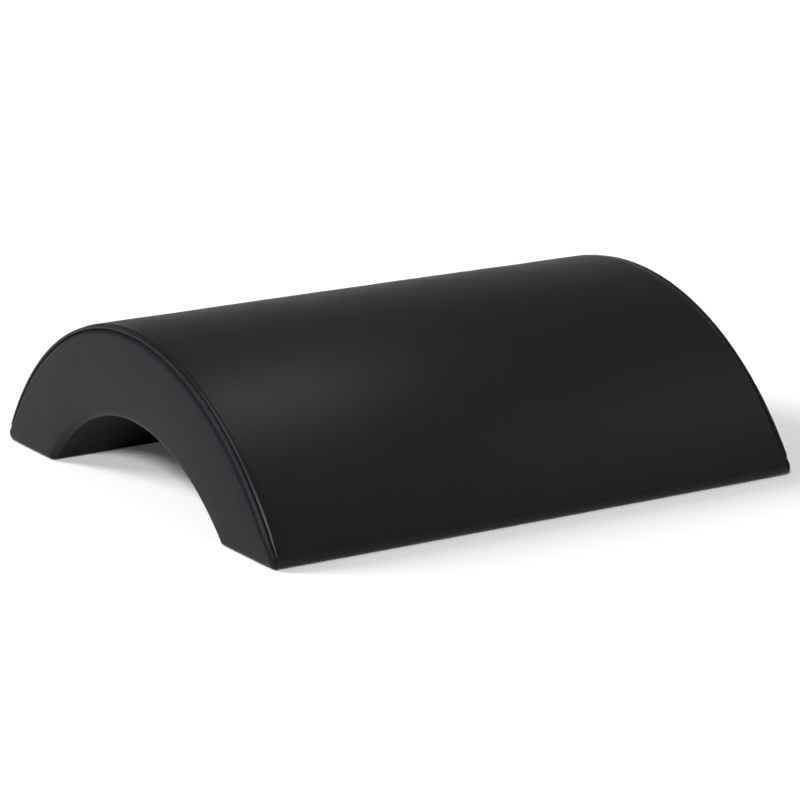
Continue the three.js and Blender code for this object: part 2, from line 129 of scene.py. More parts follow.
class Arch:
    """The circle through both ends and the top of an arch, about a centre on the Z axis."""

    def __init__(self, half_span, rise):
        self.radius = (half_span**2 + rise**2) / (2 * rise)
        self.z = rise - self.radius

    def half_width(self, radius, z):
        return math.sqrt(radius**2 - (z - self.z) ** 2)


class FootCorner:
    """The round corner between an arch and the underside of a foot."""

    def __init__(self, arch, radius, reach):
        self.radius = radius
        self.z = LEATHER_Z + radius
        self.y = arch.half_width(reach, self.z)
        self.angle = math.atan2(self.y, self.z - arch.z)


BARREL = Arch(SPAN / 2, HEIGHT)
ARCH = Arch(SPAN / 2 - FOOT_WIDTH, HEIGHT - CROWN_THICKNESS)
OUTER_RADIUS = GROOVE + SHOULDER_RADIUS + LEATHER
INNER_RADIUS = ARCH_EDGE_RADIUS + LEATHER
OUTER = FootCorner(BARREL, OUTER_RADIUS, BARREL.radius - OUTER_RADIUS)
FIRM = FootCorner(BARREL, FIRM_RADIUS, BARREL.radius - FIRM_RADIUS)
INNER = FootCorner(ARCH, INNER_RADIUS, ARCH.radius + INNER_RADIUS)
BARREL_TURN_END = OUTER.y - BARREL_TURN_UNDER
LINING_TURN_END = INNER.y + LINING_TURN_UNDER


# Stations are rows of y, z and the normal's y and z, on the leather in section.
def arc(y, z, radius, start, end, steps, facing=1):
    angles = np.linspace(start, end, steps + 1)
    ny, nz = np.sin(angles), np.cos(angles)
    return np.column_stack([y + radius * ny, z + radius * nz, facing * ny, facing * nz])


def under_foot(start, end, steps):
    y = np.linspace(start, end, steps + 1)
    return np.column_stack([y, np.full_like(y, LEATHER_Z), np.zeros_like(y), -np.ones_like(y)])


def distances(points):
    """Distance of each point from the first one, along the points."""
    steps = np.linalg.norm(np.diff(points, axis=0), axis=1)
    return np.concatenate([[0], np.cumsum(steps)])


def even_rows(values, count):
    """Stations at even distances along a path."""
    along = distances(values[:, :2])
    wanted = np.linspace(0, along[-1], count)
    return np.column_stack([np.interp(wanted, along, column) for column in values.T])


def firm_corner():
    """A foot's outer corner, which the foam fills out more firmly than the frame's own corner
    under it. At OUTER_RADIUS under the leather the two are the same."""
    plain = arc(OUTER.y, OUTER.z, OUTER.radius, OUTER.angle, math.pi, CORNER_STEPS)
    flank = arc(0, BARREL.z, BARREL.radius, OUTER.angle, FIRM.angle, CORNER_STEPS)
    turn = arc(FIRM.y, FIRM.z, FIRM.radius, FIRM.angle, math.pi, CORNER_STEPS)
    filled = even_rows(np.vstack([flank, turn[1:], plain[-1:]]), CORNER_STEPS + 1)
    push = filled[:, :2] - plain[:, :2]
    return np.hstack([filled[:, :2], plain[:, 2:] + push / OUTER_RADIUS])


def barrel_half():
    """The barrel's surface from the crown to the underside of the rear foot."""
    fine_angle = OUTER.angle - FINE_REACH / BARREL.radius
    side = arc(0, BARREL.z, BARREL.radius, 0, fine_angle, ARC_STEPS - FINE_STEPS)
    fine = arc(0, BARREL.z, BARREL.radius, fine_angle, OUTER.angle, FINE_STEPS)
    return np.vstack([side, fine[1:], firm_corner()[1:]])


def arch_half():
    """The arch's surface from its top to the underside of the rear foot."""
    side = arc(0, ARCH.z, ARCH.radius, 0, INNER.angle, ARC_STEPS, facing=-1)
    corner = arc(INNER.y, INNER.z, INNER.radius, INNER.angle + math.pi, math.pi, CORNER_STEPS)
    return np.vstack([side, corner[1:]])


def mirrored(stations):
    flipped = stations.copy()
    flipped[:, [0, 2]] *= -1
    return flipped


def over_crown(half):
    return np.vstack([mirrored(half[:0:-1]), half])


def path_with_turn(half, turn_end):
    turn = under_foot(half[-1, 0], turn_end, TURN_STEPS)
    return over_crown(np.vstack([half, turn[1:]]))


barrel_path = path_with_turn(barrel_half(), BARREL_TURN_END)
lining_path = path_with_turn(arch_half(), LINING_TURN_END)
piping_half = barrel_half()[: PIPING_CORNER_STEPS - CORNER_STEPS]
piping_path = over_crown(piping_half)


def at_depth(stations, x, depth):
    """Points at a depth under the leather. x and depth may be numbers or arrays."""
    y = stations[..., 0] - depth * stations[..., 2]
    z = stations[..., 1] - depth * stations[..., 3]
    return np.stack(np.broadcast_arrays(x, y, z), axis=-1)


def fade(distance, width):
    """0 at an edge, rising to 1 over a width."""
    t = np.clip(distance / width, 0, 1)
    return t * t * (3 - 2 * t)


def waves(*terms):
    """A small smooth unevenness from a few crossed sine waves."""
    return sum(size * np.sin(phase) for size, phase in terms)


def make_piece(name, points, faces, sharp=50):
    mesh = bpy.data.meshes.new(name)
    mesh.from_pydata(np.asarray(points).reshape(-1, 3).tolist(), [], faces)
    mesh.validate()
    mesh.shade_smooth()
    mesh.set_sharp_from_angle(angle=math.radians(sharp))
    piece = bpy.data.objects.new(name, mesh)
    bpy.context.scene.collection.objects.link(piece)
    return piece


def grid_faces(index, flip=False):
    """Quads over a grid of point numbers."""
    a, b, c, d = index[:-1, :-1], index[1:, :-1], index[1:, 1:], index[:-1, 1:]
    order = (a, d, c, b) if flip else (a, b, c, d)
    return np.stack(order, axis=-1).reshape(-1, 4).tolist()


def border(index):
    """The point numbers round the edge of a grid, in turn."""
    return np.concatenate([index[:-1, 0], index[-1, :-1], index[:0:-1, -1], index[0, :0:-1]])


def band_faces(first, second):
    """Quads between two closed rows of point numbers."""
    pairs = zip(first, np.roll(first, -1), np.roll(second, -1), second)
    return [[int(i) for i in quad] for quad in pairs]


def sheet_piece(name, outer, inner):
    """A closed sheet between two grids of points."""
    shape = outer.shape[:2]
    top = np.arange(shape[0] * shape[1]).reshape(shape)
    under = top + top.size
    faces = grid_faces(top) + grid_faces(under, flip=True)
    faces += band_faces(border(under), border(top))
    return make_piece(name, np.concatenate([outer, inner]), faces)


def coons(loop, along, across):
    """A grid inside a closed loop, from its four sides, and its rows' and columns' shares."""
    first, second = along + across, 2 * along + across
    top, right = loop[: along + 1], loop[along : first + 1]
    bottom = loop[first : second + 1][::-1]
    left = np.vstack([loop[second:], loop[:1]])[::-1]

    def shares(one, other):
        return (distances(one) / distances(one)[-1] + distances(other) / distances(other)[-1]) / 2

    share_u, share_v = shares(top, bottom), shares(left, right)
    u, v = share_u[:, None, None], share_v[None, :, None]
    grid = (1 - v) * top[:, None] + v * bottom[:, None] + (1 - u) * left[None] + u * right[None]
    corners = (1 - u) * ((1 - v) * top[0] + v * bottom[0])
    corners = corners + u * ((1 - v) * top[-1] + v * bottom[-1])
    return grid - corners, share_u, share_v


BESIDE = np.array([GROOVE, END_EASE, SHOULDER_RADIUS, 0])
CORNER = np.array([GROOVE, SHOULDER_RADIUS, SHOULDER_RADIUS, 0])
CORNER_END = np.array([0, GROOVE + SHOULDER_RADIUS, BASE_EDGE_RADIUS, 0])
UNDER_BARE = np.array([0, BASE_EDGE_RADIUS, BASE_EDGE_RADIUS, 0])
UNDER = np.array([0, BASE_EDGE_RADIUS, BASE_EDGE_RADIUS, 1])
INSIDE = np.array([0, ARCH_EDGE_RADIUS, ARCH_EDGE_RADIUS, 1])


def edged(stations, start, end, shares=None):
    """Stations with their edge: its inset, how far in it starts to roll down, how far back it
    rolls, and its share of a lip. It goes from one kind to another."""
    shares = np.linspace(0, 1, len(stations)) if shares is None else shares
    return np.hstack([stations, start + shares[:, None] * (end - start)])


class EndRim:
    """The rim of an end piece, once round the section, from the stations of its rear outer side.

    Beside the piping it is set in by the groove and has no lip. Under the foot and in the arch a
    panel turns back by a lip. The loop starts in the middle of the front foot's outer corner.
    """

    def __init__(self, outer_side):
        half_corner = CORNER_STEPS // 2
        arch_side = arch_half()[::-1]
        half = np.vstack([
            outer_side,
            edged(under_foot(outer_side[-1, 0], INNER.y, FOOT_STEPS), UNDER, UNDER)[1:],
            edged(arch_side[: CORNER_STEPS + 1], UNDER, INSIDE)[1:],
            edged(arch_side[CORNER_STEPS:], INSIDE, INSIDE)[1:],
        ])
        loop = np.vstack([half, mirrored(half[-2:0:-1])])
        self.along = 2 * (ARC_STEPS + half_corner)
        self.across = len(loop) // 2 - self.along
        self.loop = np.roll(loop, ARC_STEPS + half_corner, axis=0)

    def ring(self, face, step, shrink, lips=True):
        """The rim at one step of its roll. face is the flat face's x, and shrink is how much
        smaller its roll is than the leather's outside."""
        inset, ease, roll, lip = self.loop[:, 4:].T
        last = ROLL_STEPS + LIP_STEPS
        lip = lip if lips else np.zeros_like(lip)
        turn = ((1 - lip) * step / last + lip * min(step / ROLL_STEPS, 1)) * math.pi / 2
        reach = lip * max(0, step - ROLL_STEPS) / LIP_STEPS * (TURN_IN - roll)
        depth = inset + shrink + (ease - shrink) * (1 - np.sin(turn))
        return at_depth(self.loop, face - (roll - shrink) * (1 - np.cos(turn)) - reach, depth)


def beside_piping(stations):
    """Stations beside the piping. Their easing narrows towards the foot's corner."""
    to_corner = distances(barrel_half()[: ARC_STEPS + 1, :2])
    to_corner = np.pad(to_corner[-1] - to_corner, (0, CORNER_STEPS + TURN_STEPS))[: len(stations)]
    return edged(stations, CORNER, BESIDE, np.clip(to_corner / EASE_FADE, 0, 1))


def panel_rim():
    """It comes out over the piping's end to the leather's surface. Its lip starts beyond the
    barrel panel's turned-under end."""
    corner_end = barrel_half()[len(piping_half) - 1 :]
    lip_start = BARREL_TURN_END - 2 * CLEAR
    beside = beside_piping(piping_half)
    to_end = distances(piping_half[:, :2])[-1] - distances(piping_half[:, :2])
    out = 1 - fade(to_end, RIM_RISE)[:, None]
    beside[:, 4:] += out * (CORNER_END - beside[:, 4:])
    return EndRim(np.vstack([
        beside,
        edged(corner_end, CORNER_END, CORNER_END)[1:],
        edged(under_foot(OUTER.y, lip_start, 2 * TURN_STEPS), CORNER_END, UNDER_BARE)[1:],
        edged(under_foot(lip_start, lip_start - GROOVE, TURN_STEPS), UNDER_BARE, UNDER)[1:],
    ]))


def foam_rim():
    """It stays behind the barrel panel's turned-under end."""
    turn = under_foot(OUTER.y, BARREL_TURN_END, TURN_STEPS)
    outer_side = np.vstack([barrel_half(), turn[1:]])
    step = under_foot(BARREL_TURN_END, BARREL_TURN_END - GROOVE, TURN_STEPS)
    return EndRim(np.vstack([beside_piping(outer_side), edged(step, CORNER, UNDER_BARE)[1:]]))


PANEL_RIM, FOAM_RIM = panel_rim(), foam_rim()


def closed_piece(name, rim, rings, front_bulge, back_bulge):
    """A body through rings of points, with a grid over each end. A bulge adds to a grid's x."""
    caps = []
    for ring, bulge in ((rings[0], front_bulge), (rings[-1], back_bulge)):
        grid, share_u, share_v = coons(ring, rim.along, rim.across)
        grid[1:-1, 1:-1, 0] += bulge(grid, share_u, share_v)[1:-1, 1:-1]
        caps.append(grid)
    count = len(rings[0])
    inner_count = (rim.along - 1) * (rim.across - 1)
    faces = []
    for ring in range(len(rings) - 1):
        row = np.arange(count) + ring * count
        faces += band_faces(row, row + count)
    last = (len(rings) - 1) * count
    ends = ((0, last + count, True), (last, last + count + inner_count, False))
    for start, first, flip in ends:
        index = np.zeros((rim.along + 1, rim.across + 1), int)
        index[1:-1, 1:-1] = first + np.arange(inner_count).reshape(rim.along - 1, rim.across - 1)
        loop = start + np.arange(count)
        index[:, 0] = loop[: rim.along + 1]
        index[-1, :] = loop[rim.along : rim.along + rim.across + 1]
        index[:, -1] = loop[rim.along + rim.across : 2 * rim.along + rim.across + 1][::-1]
        index[0, 1:-1] = loop[2 * rim.along + rim.across + 1 :][::-1]
        faces += grid_faces(index, flip=not flip)
    points = [*rings, *(cap[1:-1, 1:-1].reshape(-1, 3) for cap in caps)]
    return make_piece(name, np.concatenate(points), faces)


# Soft forms: the foam presses each panel out between its seams
def pressed_out(points, most):
    """How far a sheet, held along its edges, swells under pressure. Each point moves by most at
    the utmost. The answer is given along the sheet's normals."""
    rows, columns = points.shape[:2]
    index = np.arange(rows * columns).reshape(rows, columns)
    sheet = make_piece("pressed_sheet", points, grid_faces(index))
    held = sheet.vertex_groups.new(name="held")
    held.add([int(i) for i in border(index)], 1.0, "REPLACE")
    cloth = sheet.modifiers.new("press", "CLOTH")
    settings = cloth.settings
    settings.quality = 6
    settings.tension_stiffness = settings.compression_stiffness = 30
    settings.shear_stiffness = 15
    settings.bending_stiffness = 2
    settings.vertex_group_mass = held.name
    settings.use_pressure = True
    settings.uniform_pressure_force = CLOTH_PRESSURE
    settings.effector_weights.gravity = 0
    cloth.point_cache.frame_start, cloth.point_cache.frame_end = 1, CLOTH_FRAMES
    for step in range(1, CLOTH_FRAMES + 1):
        bpy.context.scene.frame_set(step)
    normals = np.array([v.normal for v in sheet.data.vertices])
    settled = sheet.evaluated_get(bpy.context.evaluated_depsgraph_get())
    moved = np.array([v.co for v in settled.data.vertices]) - points.reshape(-1, 3)
    along = np.einsum("ij,ij->i", moved, normals)
    bpy.data.objects.remove(sheet)
    bpy.context.scene.frame_set(1)
    return (most * np.tanh(np.abs(along) / most)).reshape(rows, columns)


def looked_up(field, row_share, column_share):
    """A field on an even grid, read at any shares of its rows and columns."""
    rows = np.clip(row_share, 0, 1) * (field.shape[0] - 1)
    columns = np.clip(column_share, 0, 1) * (field.shape[1] - 1)
    r = np.minimum(rows.astype(int), field.shape[0] - 2)
    c = np.minimum(columns.astype(int), field.shape[1] - 2)
    fr, fc = rows - r, columns - c
    near = field[r, c] * (1 - fc) + field[r, c + 1] * fc
    far = field[r + 1, c] * (1 - fc) + field[r + 1, c + 1] * fc
    return near * (1 - fr) + far * fr


barrel_stations = over_crown(barrel_half())
rows = even_rows(barrel_stations, BARREL_GRID[0])
across = np.linspace(-FRAME_END, FRAME_END, BARREL_GRID[1])
surface = at_depth(rows[:, None, :], across[None, :], 0)
barrel_swell = pressed_out(surface[:, ::-1], BARREL_CROWN)[:, ::-1]
face_grid, share_u, share_v = coons(
    PANEL_RIM.ring(LENGTH / 2, 0, 0), PANEL_RIM.along, PANEL_RIM.across)
rows, columns = (
    np.interp(np.linspace(0, 1, count), share, np.arange(len(share))).round().astype(int)
    for count, share in zip(END_GRID, (share_u, share_v)))
end_swell = pressed_out(face_grid[np.ix_(rows, columns)], END_CROWN)


def barrel_bulge(along, x):
    """How far the barrel panel stands out, by distance along the path and x. The turned-under
    ends lie flat under the feet."""
    turned = BARREL_TURN_UNDER
    full = distances(barrel_path[:, :2])[-1]
    covered = (along - turned) / (full - 2 * turned)
    swell = looked_up(barrel_swell, covered, (x + FRAME_END) / (2 * FRAME_END))
    edge = np.minimum(along - turned, full - turned - along)
    seam = FRAME_END - np.abs(x)
    uneven = waves(
        (RIPPLE, 61 * x + 23 * along), (0.9 * RIPPLE, 34 * x - 47 * along + 1.3),
        (0.6 * RIPPLE, 93 * x + 71 * along + 2.1))
    pucker = waves((PUCKER, 260 * along + 40 * x), (0.6 * RIPPLE, 171 * along + 0.7))
    beside_seam = fade(seam, PUCKER_START) * (1 - fade(seam, EDGE_CALM))
    uneven = uneven * fade(seam, SEAM_CALM) + pucker * beside_seam
    return swell + uneven * fade(edge, EDGE_CALM)


def end_bulge(side):
    """How far an end panel stands out over its grid."""
    phase = 0 if side == "right" else 1

    def bulge(grid, share_u, share_v):
        u, v = np.meshgrid(share_u, share_v, indexing="ij")
        swell = looked_up(end_swell, u, v)
        y, z = grid[..., 1], grid[..., 2]
        edge = np.minimum(*(
            fade(share, calm) * fade(1 - share, calm) for share, calm in zip((u, v), END_CALM)))
        uneven = waves(
            (RIPPLE, 55 * y + 80 * z), (0.9 * RIPPLE, 90 * y - 60 * z + 0.8 + phase),
            (0.6 * RIPPLE, 150 * y + 40 * z + 2.2))
        return swell + uneven * edge

    return bulge


def no_bulge(grid, share_u, share_v):
    return np.zeros(grid.shape[:2])


# Barrel panel: a sheet from foot to foot whose ends roll down into the grooves
def shoulder_sizes():
    """A shoulder's size at each station of the panel's path, as a share of its full size."""
    along = distances(barrel_path[:, :2])
    to_end = np.minimum(along, along[-1] - along)
    piping_end = distances(barrel_half()[:, :2])[-1] - distances(piping_half[:, :2])[-1]
    above = to_end - BARREL_TURN_UNDER - piping_end
    return TIGHT_SHARE + (1 - TIGHT_SHARE) * fade(above, RIM_RISE)


def barrel_section(radius):
    """x and depth across the panel, on one of its two skins."""
    turns = np.linspace(0, math.pi / 2, ROLL_STEPS + 1)
    roll_x = FRAME_END + radius * np.sin(turns) ** (2 / SHOULDER_POWER)
    roll_depth = SHOULDER_RADIUS - radius * np.cos(turns).clip(0) ** (2 / SHOULDER_POWER)
    middle = np.linspace(-FRAME_END, FRAME_END, PANEL_STEPS + 1)[1:-1]
    flat_depth = np.full_like(middle, SHOULDER_RADIUS - radius)
    x = np.concatenate([-roll_x[::-1], middle, roll_x])
    return x, np.concatenate([roll_depth[::-1], flat_depth, roll_depth])


def barrel_skin(radius):
    x, depth = barrel_section(radius)
    along = distances(barrel_path[:, :2])
    on_panel = np.clip(x, -FRAME_END, FRAME_END)
    bulge = barrel_bulge(along[:, None], on_panel[None, :])
    stations = barrel_path[:, None, :]
    size = shoulder_sizes()[:, None]
    flat = SHOULDER_RADIUS - radius
    edge = FRAME_END + radius
    rolled = np.where(np.abs(x) >= FRAME_END, np.sign(x) * (edge - size * (edge - np.abs(x))), x)
    return at_depth(stations, rolled, flat + size * (depth - flat) - bulge)


barrel_panel = sheet_piece(
    "barrel_panel", barrel_skin(SHOULDER_RADIUS), barrel_skin(SHOULDER_RADIUS - LEATHER))

# Arch lining: a sheet between the turned-in edges of the end panels
lining_x = np.linspace(-1, 1, PANEL_STEPS + 1) * (LENGTH / 2 - TURN_IN - CLEAR)


def lining_skin(depth):
    along = distances(lining_path[:, :2])
    full = along[-1]
    edge = np.minimum(along, full - along)[:, None] - LINING_TURN_UNDER
    x, along = lining_x[None, :], along[:, None]
    uneven = waves((RIPPLE, 52 * x + 31 * along), (0.8 * RIPPLE, 77 * x - 40 * along + 1.1))
    uneven = uneven * fade(edge, EDGE_CALM) * fade(lining_x[-1] - np.abs(x), EDGE_CALM)
    return at_depth(lining_path[:, None, :], x, depth - uneven)


lining_panel = sheet_piece("lining_panel", lining_skin(0), lining_skin(LEATHER))


def place_at(piece, side):
    """Pieces are made at the right end. The left end is that one, turned half round about Z."""
    if side == "left":
        piece.data.transform(Matrix.Rotation(math.pi, 4, "Z"))
    return piece


EDGES = range(ROLL_STEPS + LIP_STEPS + 1)


def end_panel(side):
    outside = [PANEL_RIM.ring(LENGTH / 2, step, 0) for step in EDGES]
    inside = [PANEL_RIM.ring(LENGTH / 2 - LEATHER, step, LEATHER) for step in reversed(EDGES)]
    bulge = end_bulge(side)
    piece = closed_piece(f"end_panel_{side}", PANEL_RIM, outside + inside, bulge, bulge)
    return place_at(piece, side)


def end_foam(side):
    """Foam between the end rib and the end panel, rounded as the panel is."""
    face = LENGTH / 2 - BACKING
    back = FRAME_END + CLEAR
    rings = [FOAM_RIM.ring(face, step, BACKING, lips=False) for step in EDGES]
    last = rings[-1].copy()
    last[:, 0] = back
    middle = (rings[-1] + last) / 2
    bulge = end_bulge(side)
    piece = closed_piece(f"end_foam_{side}", FOAM_RIM, [*rings, middle, last], bulge, no_bulge)
    return place_at(piece, side)


# The piping rests against both shoulders, so its centre lies on the diagonal of the corner.
PIPING_REACH = SHOULDER_RADIUS + PIPING_RADIUS + CLEAR
PIPING_DEPTH = (GROOVE + 2 * SHOULDER_RADIUS - math.sqrt(2 * PIPING_REACH**2 - GROOVE**2)) / 2
PIPING_BORE = PIPING_RADIUS - PIPING_LEATHER


def piping_points(along, across):
    """x and depth, from the piping's centre: along its tail, which points to the inner side of
    the corner, and across it."""
    along, across = np.broadcast_arrays(along, across)
    x = LENGTH / 2 - PIPING_DEPTH + (across - along) / math.sqrt(2)
    return np.column_stack([x, PIPING_DEPTH + (across + along) / math.sqrt(2)])


def piping_arc(radius, from_across, to_across):
    turns = np.linspace(
        math.asin(from_across / radius), 2 * math.pi - math.asin(to_across / radius),
        PIPING_SIDES + 1)
    return piping_points(radius * np.cos(turns), radius * np.sin(turns))


def swept_piece(name, outline, path):
    """A body whose outline, in x and depth, follows a path. Near both ends it narrows and sinks
    towards its seam."""
    along = distances(path[:, :2])
    to_end = np.minimum(along, along[-1] - along)
    size = PIPING_END_SHARE + (1 - PIPING_END_SHARE) * fade(to_end - PIPING_SUNK, PIPING_TAPER)
    seam = piping_points(math.sqrt(2) * (GROOVE + LEATHER - PIPING_DEPTH), 0)
    placed = seam + size[:, None, None] * (outline[None] - seam)
    rings = at_depth(path[:, None, :], placed[..., 0], placed[..., 1])
    count = len(outline)
    faces = []
    for ring in range(len(path) - 1):
        row = np.arange(count) + ring * count
        faces += band_faces(row + count, row)
    last = (len(path) - 1) * count
    faces += [list(range(count)), list(range(last + count - 1, last - 1, -1))]
    return make_piece(name, rings, faces, sharp=40)


def welt(side):
    """Piping leather: a strip wrapped round its cord, with its tail sewn into the seam."""
    half = PIPING_LEATHER / 2
    slit = half + CLEAR
    tail = math.sqrt(2) * (GROOVE + LEATHER - PIPING_DEPTH) - half
    outline = np.vstack([
        piping_points(tail, half),
        piping_arc(PIPING_RADIUS, half, slit),
        piping_arc(PIPING_BORE, half, slit)[::-1],
        piping_points(math.sqrt(PIPING_BORE**2 - half**2), -half),
        piping_points(tail, -half),
    ])
    return place_at(swept_piece(f"welt_{side}", outline, piping_path), side)


def welt_cord(side):
    turns = np.linspace(0, 2 * math.pi, PIPING_SIDES // 2, endpoint=False)
    radius = PIPING_BORE - CLEAR
    outline = piping_points(radius * np.cos(turns), radius * np.sin(turns))
    return place_at(swept_piece(f"welt_cord_{side}", outline, piping_path), side)


def barrel_foam():
    """Foam over the barrel, wrapped round the outer corner of each foot."""
    inner_radius = BARREL.radius - BACKING - BARREL_PAD
    end_angle = math.acos((FRAME_Z - BARREL.z) / inner_radius)
    under = over_crown(arc(0, BARREL.z, inner_radius, 0, end_angle, len(barrel_half()) - 1))
    along = distances(barrel_stations[:, :2]) + BARREL_TURN_UNDER
    x = np.linspace(-FRAME_END, FRAME_END, PANEL_STEPS + 1)
    bulge = barrel_bulge(along[:, None], x[None, :])
    outer = at_depth(barrel_stations[:, None, :], x[None, :], BACKING - bulge)
    inner = at_depth(under[:, None, :], x[None, :], 0)
    return sheet_piece("barrel_foam", outer, inner)


end_panels = {side: end_panel(side) for side in ("left", "right")}
end_foams = {side: end_foam(side) for side in ("left", "right")}
welts = {side: welt(side) for side in ("left", "right")}
welt_cords = {side: welt_cord(side) for side in ("left", "right")}
barrel_pad = barrel_foam()


# Materials
def add(tree, kind, inputs=None, **settings):
    """A shader node. An input that is a socket is linked, and any other is set."""
    made = tree.nodes.new(kind)
    for key, value in settings.items():
        setattr(made, key, value)
    for key, value in (inputs or {}).items():
        if isinstance(value, bpy.types.NodeSocket):
            tree.links.new(value, made.inputs[key])
        else:
            made.inputs[key].default_value = value
    return made


class Finish:
    """A material with the nodes that most finishes here share."""

    def __init__(self, name):
        self.material = bpy.data.materials.new(name)
        self.material.use_nodes = True
        self.tree = self.material.node_tree
        self.tree.nodes.clear()
        self.place = add(self.tree, "ShaderNodeTexCoord").outputs["Object"]

    def axes(self):
        return add(self.tree, "ShaderNodeSeparateXYZ", {"Vector": self.place}).outputs

    def stretched(self, scale):
        inputs = {"Vector": self.place, "Scale": scale}
        return add(self.tree, "ShaderNodeMapping", inputs).outputs[0]

    def noise(self, scale, detail=2.0, place=None, roughness=0.5):
        """Without a place, scale is a number a metre."""
        inputs = {"Vector": place or self.place, "Scale": scale, "Detail": detail,
                  "Roughness": roughness}
        return add(self.tree, "ShaderNodeTexNoise", inputs).outputs["Fac"]

    def cells(self, scale, feature="SMOOTH_F1"):
        inputs = {"Vector": self.place, "Scale": scale}
        made = add(self.tree, "ShaderNodeTexVoronoi", inputs, feature=feature)
        return made.outputs["Distance"]

    def math(self, operation, first, second=0.0):
        made = add(self.tree, "ShaderNodeMath", operation=operation)
        for socket, value in zip(made.inputs, (first, second)):
            if isinstance(value, bpy.types.NodeSocket):
                self.tree.links.new(value, socket)
            else:
                socket.default_value = value
        return made.outputs[0]

    def ranged(self, value, low, high, from_low=0.3, from_high=0.7):
        inputs = {"Value": value, "From Min": from_low, "From Max": from_high,
                  "To Min": low, "To Max": high}
        return add(self.tree, "ShaderNodeMapRange", inputs).outputs[0]

    def tinted(self, value, low, high, from_low=0.3, from_high=0.7):
        ramp = add(self.tree, "ShaderNodeValToRGB", {"Fac": value})
        stops = ramp.color_ramp.elements
        stops[0].position, stops[1].position = from_low, from_high
        stops[0].color, stops[1].color = (*low, 1), (*high, 1)
        return ramp.outputs["Color"]

    def bumped(self, height, distance, normal=None):
        inputs = {"Height": height, "Distance": distance}
        if normal is not None:
            inputs["Normal"] = normal
        return add(self.tree, "ShaderNodeBump", inputs).outputs["Normal"]

    def shade(self, **inputs):
        named = {key.replace("_", " "): value for key, value in inputs.items()}
        shader = add(self.tree, "ShaderNodeBsdfPrincipled", named)
        add(self.tree, "ShaderNodeOutputMaterial", {"Surface": shader.outputs[0]})
        return self.material


def leather(name, low, high, roughness, specular, grain=GRAIN, tight=0.0):
    """Smooth synthetic leather: a fine pebbled grain, with faint cloudiness in its gloss.
    tight is how much less rough it is where it is pulled round the barrel's shoulders."""
    finish = Finish(name)
    pebbles = finish.cells(PEBBLES)
    pores = finish.noise(PORES, 3.0)
    clouds = finish.noise(CLOUDS, 3.0)
    height = finish.math("ADD", finish.math("MULTIPLY", pebbles, PEBBLE_SHARE),
                         finish.math("MULTIPLY", pores, 1 - PEBBLE_SHARE))
    soft = finish.bumped(finish.noise(CREASES), GRAIN)
    rough = finish.ranged(clouds, roughness - GLOSS_SPREAD, roughness + GLOSS_SPREAD)
    if tight:
        along = finish.math("ABSOLUTE", finish.axes()[0])
        smoothed = finish.ranged(along, 0.0, tight, FRAME_END - TIGHT_FADE, FRAME_END)
        rough = finish.math("SUBTRACT", rough, smoothed)
    return finish.shade(
        Base_Color=finish.tinted(clouds, low, high),
        Roughness=rough,
        Specular_IOR_Level=specular,
        Normal=finish.bumped(height, grain, normal=soft))


panel_leather = leather(
    "panel_leather", (0.0060, 0.0059, 0.0072), (0.0073, 0.0072, 0.0088),
    roughness=0.49, specular=0.2, tight=0.14)
# Painted shade: the barrel panel's leather again, with a slightly darker base colour so that the
# end faces render darker.
end_leather_painted_shade = leather(
    "end_leather_painted_shade", (0.0055, 0.0054, 0.0073), (0.0067, 0.0066, 0.0089),
    roughness=0.45, specular=0.1)
# Painted light: the same black leather with about twice the base colour, which lifts the shaded
# inside of the arch.
lining_leather_painted_light = leather(
    "lining_leather_painted_light", (0.012, 0.012, 0.0138), (0.0145, 0.0145, 0.0165),
    roughness=0.8, specular=0.04)
strip_leather = leather(
    "strip_leather", (0.0083, 0.0083, 0.0096), (0.0101, 0.0101, 0.0117),
    roughness=0.45, specular=0.18, grain=STRIP_GRAIN)


def foam():
    finish = Finish("open_cell_foam")
    pores = finish.cells(1500.0, "F1")
    broad = finish.noise(30.0, 3.0)
    return finish.shade(
        Base_Color=finish.tinted(broad, (0.66, 0.60, 0.44), (0.76, 0.71, 0.58)),
        Roughness=finish.ranged(pores, 0.85, 1.0),
        Specular_IOR_Level=0.2,
        Normal=finish.bumped(pores, 0.25 * MM))


def layered(name, through, grain_scale):
    """Plywood. through gives the node that measures across its veneers, in metres."""
    finish = Finish(name)
    across = through(finish)
    veneer = finish.math("SINE", finish.math("MULTIPLY", across, math.pi / VENEER))
    grain = finish.noise(1.0, 5.0, finish.stretched(grain_scale), 0.6)
    mixed = finish.math("ADD", finish.math("MULTIPLY", veneer, 0.12), grain)
    return finish.shade(
        Base_Color=finish.tinted(mixed, (0.42, 0.26, 0.13), (0.68, 0.5, 0.3), 0.25, 0.75),
        Roughness=finish.ranged(grain, 0.6, 0.75),
        Normal=finish.bumped(grain, 0.1 * MM))


def axis_of(index):
    """Distance along an axis, across a flat board."""
    return lambda finish: finish.axes()[index]


def radius_from(arch):
    """Distance from an arch's centre line, across bent plywood."""

    def through(finish):
        axes = finish.axes()
        up = finish.math("SUBTRACT", axes[2], arch.z)
        squares = finish.math("ADD", finish.math("POWER", axes[1], 2.0),
                              finish.math("POWER", up, 2.0))
        return finish.math("SQRT", squares)

    return through


def pine():
    finish = Finish("planed_pine")
    rings = finish.noise(1.0, 4.0, finish.stretched((8.0, 160.0, 160.0)), 0.55)
    fibres = finish.noise(1.0, 3.0, finish.stretched((40.0, 1500.0, 1500.0)), 0.6)
    mixed = finish.math("ADD", finish.math("MULTIPLY", rings, 0.75),
                        finish.math("MULTIPLY", fibres, 0.25))
    return finish.shade(
        Base_Color=finish.tinted(mixed, (0.5, 0.29, 0.12), (0.78, 0.58, 0.34), 0.35, 0.65),
        Roughness=finish.ranged(fibres, 0.6, 0.8),
        Normal=finish.bumped(mixed, 0.08 * MM))


